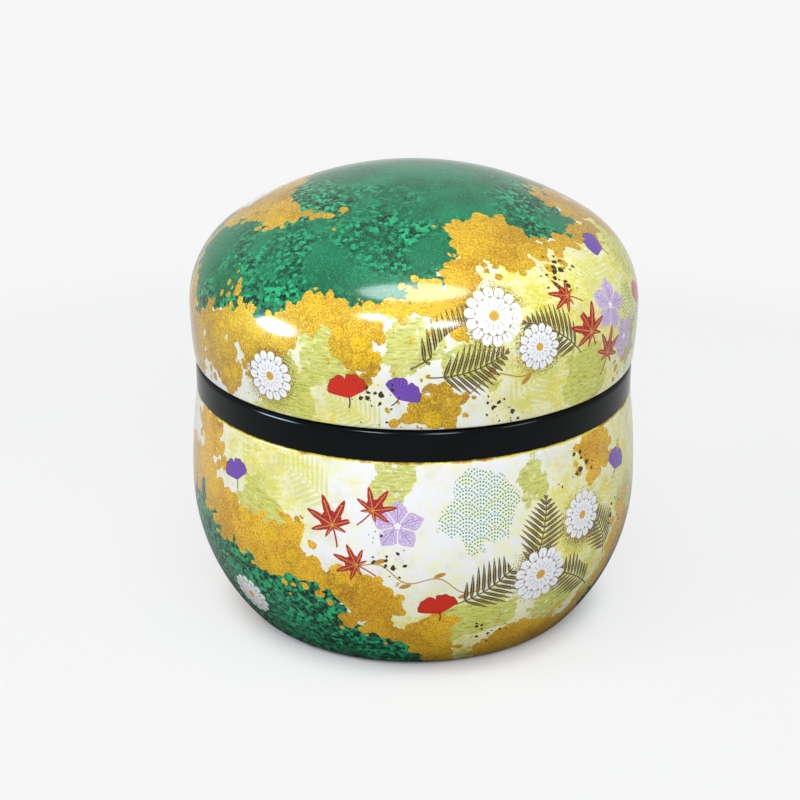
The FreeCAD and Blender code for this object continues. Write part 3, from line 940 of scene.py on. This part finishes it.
# %% Layout of the lid
LID_PRINT = dict(
    path=LID_PATH, rim_line=False, flecked=0.0, leaf_shades_and_painted_light=("#b98b1f", "#d2a627"),
    green=[(0, 68, 26), (-12, 38, 15), (-44, 32, 14), (-70, 26, 14), (-100, 16, 12), (62, 46, 13),
           (150, 34, 20), (-160, 18, 13)],
    gold=[(-14, 15, 6), (10, 24, 6), (30, 38, 8), (-54, 7, 7), (100, 30, 9), (-130, 8, 8), (4, 3, 5),
          (66, 5, 5)],
    olive=[(0, 17, 6), (-24, 12, 6), (12, 12, 5), (46, 5, 6), (-34, 5, 6), (128, 22, 9), (-112, 8, 7),
           (84, 24, 6)],
    wash=[(40, 16, 24), (80, 14, 24), (120, 18, 24), (-140, 24, 22), (200, 12, 20), (-26, 2, 14)],
    ghost=[(78, 22, 15, 10), (30, 7, -50, 9), (48, 6, 20, 9), (58, 24, -35, 9), (-14, 3, 60, 8),
           (100, 14, -20, 10), (-120, 20, 30, 10), (150, 10, -25, 10), (-170, 22, 20, 9)],
    dust=[(20, 21, 0, 10), (31, 14, 0, 8), (-37, 7, 0, 9), (106, 10, 0, 9), (180, 9, 0, 9)],
    splash=[(44, 27, 0, 9), (-10, 5, 0, 8), (22, 3, 0, 7), (90, 16, 0, 8), (-170, 12, 0, 9)],
    waves=[(70, 10, 0, 12), (150, 14, 0, 12)],
    vine=[(15, 8, 12, 15), (140, 18, -10, 15), (-150, 14, 15, 14)],
    fern=[(9, 17, -50, 9.5), (14, 11, -74, 8.5), (36, 16, 58, 8.5), (118, 16, 20, 10),
          (-128, 14, -15, 9), (170, 14, 25, 9)],
    bell=[(58, 17, -20, 5.6), (64, 9, 25, 4.8), (-150, 12, 0, 5.6), (-112, 8, 30, 5.2), (140, 8, 15, 5.4)],
    maple=[(48, 14, 25, 6.4), (55, 8, -18, 5.4), (43, 22, 70, 4.6), (-138, 16, 30, 6), (-146, 8, -30, 5),
           (92, 9, 10, 5.6)],
    mum=[(20, 21, 0, 6.0), (31, 14, 10, 4.6), (-37, 7, 20, 5.2), (106, 10, 0, 6.0), (180, 9, 0, 5.8)],
    red=[(78, 14, -20, 4.0), (-16, 7, 12, 4.0), (-170, 20, 10, 3.6)],
    violet=[(70, 28, 25, 3.8), (-3, 7, -30, 3.6), (156, 20, -20, 3.6)],
)


def count_places(layout):
    return sum(len(places) for places in layout.values() if isinstance(places, list))


print("lid layout", count_places(LID_PRINT), "places")

# %% [markdown]
# The bowl has more green low down, flecked all over, and a thin gold line along its rim where the sheet
# turns in. Its gold shades are lighter than the lid's, and that is painted light.

# %% Layout of the bowl
BOWL_PRINT = dict(
    # The bowl's gold shades are painted lighter than the lid's: painted light low on the bowl
    path=BOWL_PATH, rim_line=True, flecked=0.2, leaf_shades_and_painted_light=("#d49a20", "#f0bb2a"),
    green=[(-42, 40, 19), (-76, 32, 18), (-14, 50, 13), (80, 44, 16), (110, 28, 14), (185, 38, 22),
           (-120, 46, 13)],
    gold=[(-64, 6, 8), (-34, 17, 6), (-12, 29, 6), (6, 38, 7), (34, 46, 9), (54, 3, 6), (68, 26, 6),
          (140, 12, 8), (-125, 16, 8)],
    olive=[(14, 36, 8), (-44, 12, 6), (36, 34, 6), (58, 36, 6), (95, 14, 8), (72, 22, 7), (-150, 30, 9),
           (-6, 3, 5), (30, 4, 5)],
    wash=[(46, 20, 20), (76, 12, 20), (100, 10, 20), (-110, 8, 20), (160, 20, 22), (10, 40, 16),
          (-40, 4, 14)],
    ghost=[(66, 14, 20, 10), (-28, 5, 62, 9), (-40, 10, -20, 8), (14, 34, 50, 8), (62, 30, -30, 9),
           (88, 14, 35, 10), (120, 20, 20, 10), (-104, 8, -25, 9), (-170, 10, -20, 9)],
    dust=[(33, 25, 0, 10), (46, 17, 0, 9), (160, 24, 0, 9), (-162, 14, 0, 9)],
    splash=[(-7, 19, 0, 8), (20, 40, 0, 9), (44, 6, 0, 8), (62, 20, 0, 8), (-100, 24, 0, 9)],
    waves=[(16, 9, 0, 12), (92, 8, 0, 12), (-140, 12, 0, 14)],
    vine=[(2, 24, -14, 14), (120, 16, 10, 15), (-128, 28, 12, 14)],
    fern=[(20, 26, -55, 9.5), (44, 29, 60, 9), (33, 17, -12, 9), (54, 21, 30, 8), (-94, 6, 40, 8),
          (150, 16, -20, 10), (-150, 20, 25, 9)],
    bell=[(-4, 12, 0, 5.4), (120, 14, 0, 5.6), (-120, 26, 20, 5.6)],
    maple=[(-20, 13, 20, 6.4), (-10, 9, -35, 5.2), (-14, 21, 70, 5.0), (130, 20, 0, 6), (-104, 18, 15, 5.8),
           (84, 10, -20, 5.6)],
    mum=[(33, 26, 0, 6.2), (46, 16, 15, 5.2), (-50, 36, 0, 5.0), (160, 24, 0, 6.0), (-162, 14, 0, 5.4)],
    red=[(6, 30, 15, 4.0), (-176, 12, 0, 3.6)],
    violet=[(62, 9, -25, 3.7), (-50, 8, 20, 3.6), (108, 8, 10, 3.5)],
)
print("bowl layout", count_places(BOWL_PRINT), "places")

# %% [markdown]
# ## Grounds
# The pale washes come first. Faint fronds are printed into them in a darker yellow, and worn patches of
# olive lie on top, brushed sideways, so that the white shows through like dry paint.

# %% Pale ground
GHOST, OLIVE, PALE_OLIVE, BROWN_OLIVE = "#dbdc7a", "#bcc250", "#dcdb74", "#a58f3a"
OLIVE_SHIFT, BRUSHED = (-23.0, 9.0, 44.0), (0.5, 0.5, 2.6)


def pale_ground(mm, pushed, path, wash, ghost, olive):
    tint = between(depth_in(pushed, path, wash), -8.0, 14.0)
    frond = use(fern_frond, Local=stamp_all(mm, path, ghost))["Body"]
    patch = use(torn_edge, Point=vectors("ADD", mm, OLIVE_SHIFT), Field=depth_in(pushed, path, olive),
                Broad=8.0, Flakes=2.0)["Mask"]
    fibre = noise(vectors("MULTIPLY", mm, BRUSHED), 0.9, 5.0, 0.72)
    olive_ink = cover(blend(between(fibre, 0.40, 0.62), OLIVE, PALE_OLIVE),
                      (between(fibre, 0.42, 0.36), BROWN_OLIVE))
    worn = between(noise(mm, 0.8, 5.0, 0.75), 0.31, 0.47) * 0.92
    washes = use(wash_tint, Point=mm, Tint=tint)["Color"]
    return cover(washes, (frond * 0.7, GHOST), (patch * worn, olive_ink))


print("pale ground ready, olive", OLIVE)

# %% [markdown]
# Emerald fields lie over the pale ground, and gold leaf lies along their borders and in clouds of its
# own. The border's width wanders, so that in places green and white meet with no gold between them.

# %% Emerald and gold
LEAF_SHIFT = (31.0, 17.0, 5.0)


def emerald_and_gold(mm, pushed, colour, path, flecked, leaf_shades_and_painted_light, green, gold):
    """Colour with both, the mask of the gold, and its grain."""
    green_depth = depth_in(pushed, path, green)
    field = use(torn_edge, Point=mm, Field=green_depth, Broad=9.0, Flakes=2.2)
    green_ink = use(emerald, Point=mm, Depth=field["Depth"], Flecked=flecked)["Color"]
    width = noise(mm, 0.05) * 26.0 - 8.0
    border = maths("MINIMUM", green_depth + width, width * 0.35 - green_depth)
    cloud = use(torn_edge, Point=vectors("ADD", mm, LEAF_SHIFT),
                Field=border | depth_in(pushed, path, gold), Broad=10.0, Flakes=5.6)["Mask"]
    dull, bright = [hue(shade) for shade in leaf_shades_and_painted_light]
    leaf = use(gold_leaf, Point=mm, Dull=dull, Bright=bright)
    return cover(colour, (field["Mask"], green_ink), (cloud, leaf["Color"])), cloud, leaf["Grain"]


print("emerald and gold ready")

# %% [markdown]
# ## Inks
# Every motif has a body colour, and may have lines, a heart and a grain. The grain lets the tin's pale
# undercoat sparkle through the ink, most of all on the bellflowers. Fine gold dust lies round the
# chrysanthemums, as if blown through a sieve.

# %% Inks
# Each motif is its name in a layout, its drawing, its body, line and heart colours, and its grain
INKS = [
    ("waves", wave_scales, "#2f9a6c", None, None, 0.0),
    ("vine", trailing_vine, "#b98a2c", None, None, 0.0),
    ("fern", fern_frond, "#463512", "#b9a76a", None, 0.15),
    ("bell", bellflower, "#c4abd8", "#9272b5", "#f3eef6", 0.9),
    ("maple", maple_leaf, "#a81815", "#dca33c", None, 0.15),
    ("mum", chrysanthemum, "#f4f5fa", "#9b8a58", "#d9a934", 0.0),
    ("red", ginkgo_leaf, "#dc2414", "#54401a", None, 0.0),
    ("violet", ginkgo_leaf, "#744bbb", "#54401a", None, 0.0),
]
DUST, UNDERCOAT = "#7d5f22", 0.6


def dusted(mm, colour, path, dust):
    near = between(length(stamp_all(mm, path, dust)), 1.0, 0.35)
    specks = between(near * 0.3 + noise(mm, 4.2, 2.0, 0.7), 0.68, 0.76)
    return cover(colour, (specks * between(near, 0.0, 0.2), DUST))


def motif_over(mm, colour, masks, body, line, heart, grain):
    """One kind of motif over the colours so far."""
    ink = hue(body)
    if grain:
        pale = tuple(c + (1 - c) * UNDERCOAT for c in ink)
        ink = blend(between(noise(mm, 3.0, 2.0, 0.7), 0.5, 0.64) * grain, ink, pale)
    if line:
        ink = blend(masks["Line"], ink, line)
    if heart:
        ink = blend(masks["Heart"], ink, heart)
    return blend(masks["Body"], colour, ink)


print("inks", [ink[0] for ink in INKS])

# %% [markdown]
# Last come dark splashes, which are Voronoi cells shrunk to droplets of many sizes and pushed out of
# round by noise, and the line along the bowl's rim, where the gold is rubbed to brown in places. Above
# the line, a dark brown band over the top of the roll is painted shade, under the gap to the black ring.

# %% Splashes and rim line
# The last colour here is painted shade, for the top of the bowl's roll under the ring
SPLASH, RIM_GOLD, RUBBED_GOLD, RIM_GAP_SHADE = "#3f3214", "#efe25a", "#c08a1e", "#8a5a12"
RIM_LINE_Z, RIM_GAP_SHADE_Z, LINE_SOFT = BOWL_HEIGHT - 0.2, BOWL_HEIGHT + 0.15, 0.2


def noise_shift(mm, scale, reach, middle=0.0):
    """Points pushed about by noise, in mm."""
    push = Wire(noise_node(mm, scale), "Color")
    return vectors("ADD", mm, vectors("SCALE", vectors("SUBTRACT", push, (middle,) * 3), Scale=reach))


def splashed(mm, colour, path, splash):
    spread = between(length(stamp_all(mm, path, splash)), 1.0, 0.2)
    drops = cells(noise_shift(mm, 1.1, 0.9), 0.85)
    size = maths("POWER", cell_lot(drops), 1.7) * (spread * 0.6)
    return cover(colour, (below(Wire(drops, "Distance"), size, 0.06), SPLASH))


def rim_lined(mm, colour):
    ragged = split(mm)[2] + noise(mm, 0.5, 4.0, 0.7) * 0.9
    rubbed = between(noise(mm, 0.14, 4.0, 0.6), 0.5, 0.6)
    return cover(colour,
                 (between(ragged, RIM_LINE_Z, RIM_LINE_Z + LINE_SOFT), blend(rubbed, RIM_GOLD, RUBBED_GOLD)),
                 # Painted shade along the top of the roll, under the ring
                 (between(ragged, RIM_GAP_SHADE_Z, RIM_GAP_SHADE_Z + LINE_SOFT), RIM_GAP_SHADE))


print("rim line from", round(RIM_LINE_Z, 2), "mm up")

# %% [markdown]
# ## Printed tin
# All the inks lie under one coat of clear lacquer, and it is the coat that shines. The ink itself is
# almost matt. Gold areas are a little metallic, and their grain stands up, so that the highlight breaks
# up over them as on real leaf.

# %% Printed tin
GOLD_METAL, INK_GLOSS, INK_ROUGH, ROUGH_SPREAD = 0.12, 0.05, 0.3, 0.16
GRAIN = {"Strength": 0.6, "Distance": 0.2 * MM}
LACQUER = {"Coat Weight": 1.0, "Coat IOR": 1.33, "Coat Roughness": 0.13}


def new_material(name):
    material = bpy.data.materials.new(name)
    material.use_nodes = True
    material.node_tree.nodes.clear()
    return material, material.node_tree


def finished(material, shader):
    """Material with a shader on its surface."""
    put(material.node_tree, "OutputMaterial", {"Surface": Wire(shader)})
    print(material.name, len(material.node_tree.nodes), "nodes")
    return material


def printed_tin(name, path, rim_line, flecked, leaf_shades_and_painted_light, green, gold, olive, wash, ghost, dust, splash,
                **motifs):
    """Material of a shell's printed side."""
    material, tree = new_material(name)
    mm = millimetres(tree)
    pushed = noise_shift(mm, 0.07, 16.0, 0.5)
    colour = pale_ground(mm, pushed, path, wash, ghost, olive)
    colour, cloud, grain = emerald_and_gold(mm, pushed, colour, path, flecked, leaf_shades_and_painted_light, green, gold)
    colour = dusted(mm, colour, path, dust)
    for kind, motif, *ink in INKS:
        masks = use(motif, Local=stamp_all(mm, path, motifs[kind]))
        colour = motif_over(mm, colour, masks, *ink)
    colour = splashed(mm, colour, path, splash)
    if rim_line:
        colour = rim_lined(mm, colour)
    bump = put(tree, "Bump", {"Height": grain * cloud, **GRAIN})
    roughness = noise(mm, 2.0) * ROUGH_SPREAD + INK_ROUGH
    return finished(material, put(tree, "BsdfPrincipled", {
        "Base Color": colour, "Metallic": cloud * GOLD_METAL, "Roughness": roughness,
        "Normal": Wire(bump), "Specular IOR Level": INK_GLOSS, **LACQUER}))


lid_print = printed_tin("printed_lid", **LID_PRINT)
bowl_print = printed_tin("printed_bowl", **BOWL_PRINT)

# %% [markdown]
# ## Bare tin, black ring and milky plastic
# The inside of both shells is bare tinplate, the ring is a smooth black moulding, and the inner lid is
# soft white plastic. One function makes all three, each with two close shades, and with its own fine
# unevenness in gloss and surface.

# %% Plain finishes
def plain_finish(name, shades, scale, roughness, spread, **constants):
    """Material of two close shades, with roughness from the same noise."""
    material, tree = new_material(name)
    mm = millimetres(tree)
    patches = noise(mm, scale, 4.0, 0.6)
    bump = put(tree, "Bump", {"Height": noise(mm, 1.5, 3.0), "Strength": 0.02, "Distance": 0.1 * MM})
    return finished(material, put(tree, "BsdfPrincipled", {
        "Base Color": blend(patches, *shades), "Roughness": patches * spread + roughness,
        "Normal": Wire(bump), **constants}))


bare_tin = plain_finish("bare_tin", ("#c9c8c2", "#dcdbd6"), 0.25, 0.36, 0.12, Metallic=1.0)
black_moulding = plain_finish(
    "black_moulding", ("#010405", "#03090a"), 0.15, 0.09, 0.06, **{"Specular IOR Level": 0.13})
milky_plastic = plain_finish("milky_plastic", ("#eceeea", "#e2e5e0"), 0.2, 0.34, 0.12)

# %% [markdown]
# ## Dressing the pieces
# A shell has two finishes: print outside and bare tin inside. The mesh is one sheet with two sides, so
# each face takes the finish of the side it looks to, as seen from a point in the middle of the shell.

# %% Dressing the pieces
LID_MIDDLE_Z, BOWL_MIDDLE_Z = LID_Z + 5.0, BELLY_Z


def dress(piece, *materials):
    piece.data.materials.clear()
    for material in materials:
        piece.data.materials.append(material)


def bare_inside(piece, middle_z):
    """Second finish on the faces that look towards a point on the axis."""
    middle = Vector((0.0, 0.0, middle_z * MM))
    for face in piece.data.polygons:
        face.material_index = 0 if face.normal.dot(face.center - middle) > 0 else 1
    print(piece.name, sum(face.material_index for face in piece.data.polygons), "bare faces")


dress(lid, lid_print, bare_tin)
dress(bowl, bowl_print, bare_tin)
dress(ring, black_moulding)
dress(inner_lid, milky_plastic)
bare_inside(lid, LID_MIDDLE_Z)
bare_inside(bowl, BOWL_MIDDLE_Z)

# %% [markdown]
# ## Floor
# The caddy stands on a pale floor that is almost white to the eye. Light Path tells apart what the camera
# sees, what the lacquer mirrors and what light bounces off, and each gets its own level: the floor seen
# is pale but keeps the caddy's soft shadow close by, and the bounce is weaker, so that the bowl darkens
# towards its foot as it does on cloth. Close round the foot the bounce falls almost to nothing: a dark
# ring that paints shade on the bowl's lowest edge.

# %% Floor
FLOOR_SEEN, FLOOR_BOUNCE, FLOOR_MIRRORED, FLOOR_PALE = 0.76, 0.54, 0.30, 0.925
NEAR_LIFT, MIRROR_LIFT, UNDER_EDGE_SHADE, FLOOR_SIDE = 0.8, 0.7, 0.1, 6.0
# Where each level gives way to the next, in mm from the caddy's middle
SHADOW_ENDS, UNDER_SHADE_ENDS, MIRROR_FADES, FLOOR_FADES = (31, 43), (34, 54), (50, 120), (60, 250)


def grey(level):
    return (level, level, level, 1.0)


def ray_kinds(tree):
    """1 for what the camera sees, and 1 for what is seen in a mirror or through glass."""
    rays = put(tree, "LightPath")
    return Wire(rays, "Is Camera Ray"), Wire(rays, "Is Glossy Ray") | Wire(rays, "Is Transmission Ray")


deselect()
bpy.ops.mesh.primitive_plane_add(size=FLOOR_SIDE, location=(0, 0, 0))
floor = bpy.context.object
floor.name = "floor"
cloth, tree = new_material("white_cloth")
by_camera, mirrored = ray_kinds(tree)
from_caddy = length(millimetres(tree))
seen_lift = between(from_caddy, *SHADOW_ENDS) * NEAR_LIFT | between(from_caddy, *FLOOR_FADES)
mirror_lift = between(from_caddy, *MIRROR_FADES) * mirrored * MIRROR_LIFT
shade = blend(mirrored, grey(FLOOR_BOUNCE), grey(FLOOR_MIRRORED))
# Painted shade: close round the foot the floor bounces almost no light, so the bowl's lowest edge darkens
shade = blend(between(from_caddy, *UNDER_SHADE_ENDS), grey(UNDER_EDGE_SHADE), shade)
shade = blend(by_camera, shade, grey(FLOOR_SEEN))
matt = Wire(put(tree, "BsdfDiffuse", {"Color": shade}))
pale = Wire(put(tree, "Emission", {"Color": grey(FLOOR_PALE)}))
mix = put(tree, "MixShader", {0: seen_lift * by_camera | mirror_lift, 1: matt, 2: pale})
floor.data.materials.append(finished(cloth, mix))

# %% [markdown]
# ## World
# Soft light from all round fills the shadows, a little cool, as from a white room. What the camera or the
# lacquer sees of the room is brighter, because a studio's walls are bright in a mirror.

# %% World
WORLD_LIGHT, WORLD_SEEN = (0.27, 0.29, 0.32, 1.0), grey(0.6)
world = bpy.data.worlds.new("studio")
bpy.context.scene.world = world
world.use_nodes = True
by_camera, mirrored = ray_kinds(world.node_tree)
backdrop = world.node_tree.nodes["Background"]
room = blend(by_camera | mirrored, WORLD_LIGHT, WORLD_SEEN)
world.node_tree.links.new(room.socket, backdrop.inputs["Color"])
backdrop.inputs["Strength"].default_value = 1.0
print("world", world.name)

# %% [markdown]
# ## Lamps
# In a photographer's studio one soft box gives both the light and its mirror image. Here the two are set
# apart, so that each can be tuned: three large boxes light the colours and don't show in the lacquer,
# and five small panes show only there. The long pane overhead draws the strip along the shoulder, and
# the others draw the bright spots below it. The window on the left is bluish, like daylight, and draws
# the glint on the black band as well.

# %% Lamps
LAMP_DISTANCE, LAMP_AIM = 1.2, Vector((0.0, 0.0, 0.05))
WHITE, COOL, SKY = (1.0, 1.0, 1.0), (0.86, 0.94, 1.0), (0.55, 0.80, 1.0)
# Each lamp is its name, azimuth, elevation, size in metres, power in watts and, for a pane, its tint
BOXES = [
    ("overhead_box", 0, 78, (0.9, 0.6), 7.4),
    ("front_box", 6, 38, (0.9, 0.4), 7.2),
    ("left_box", -72, 33, (0.4, 0.3), 3.6),
]
PANES = [
    ("overhead_pane", 0, 80, (0.78, 0.5), 20.0, COOL),
    ("front_pane_left", -25, 46, (0.28, 0.14), 7.0, COOL),
    ("front_pane_middle", 16, 39, (0.32, 0.15), 7.0, COOL),
    ("front_pane_right", 60, 36, (0.36, 0.18), 3.0, COOL),
    ("left_window", -72, 12, (0.5, 0.28), 25.0, SKY),
]


def soft_box(name, azimuth, elevation, size, power, tint=WHITE):
    """Area lamp that looks at the caddy from an azimuth, in degrees from the front, and an elevation."""
    a, e = math.radians(azimuth), math.radians(elevation)
    direction = Vector((math.sin(a) * math.cos(e), -math.cos(a) * math.cos(e), math.sin(e)))
    deselect()
    bpy.ops.object.light_add(type="AREA", location=direction * LAMP_DISTANCE + LAMP_AIM)
    lamp = bpy.context.object
    lamp.name = name
    lamp.rotation_euler = direction.to_track_quat("Z", "Y").to_euler()
    lamp.data.shape = "ELLIPSE"
    lamp.data.size, lamp.data.size_y = size
    lamp.data.energy = power
    lamp.data.color = tint
    return lamp


for box in BOXES:
    soft_box(*box).visible_glossy = False
for pane in PANES:
    soft_box(*pane).visible_diffuse = False
print("lamps", [lamp[0] for lamp in BOXES + PANES])

# %% [markdown]
# ## Hand over to the frame
# Each smooth piece stands for its CAD node and rides on the same body, so the lid and the inner lid lift
# as the joints say. The view transform is plain, so that colours come out as they are written.

# %% Hand over to the frame
for piece, body, node, slot in (
    (bowl, "base", "body_shell", "printed_tin"),
    (ring, "base", "neck_ring", "black_neck"),
    (inner_lid, "inner_lid", "inner_lid", "inner_lid_plastic"),
    (lid, "lid", "lid_shell", "printed_tin"),
):
    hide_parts(node)
    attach(piece, body)
    print(piece.name, "stands for", node, "on", body)

bpy.context.scene.view_settings.view_transform = "Standard"
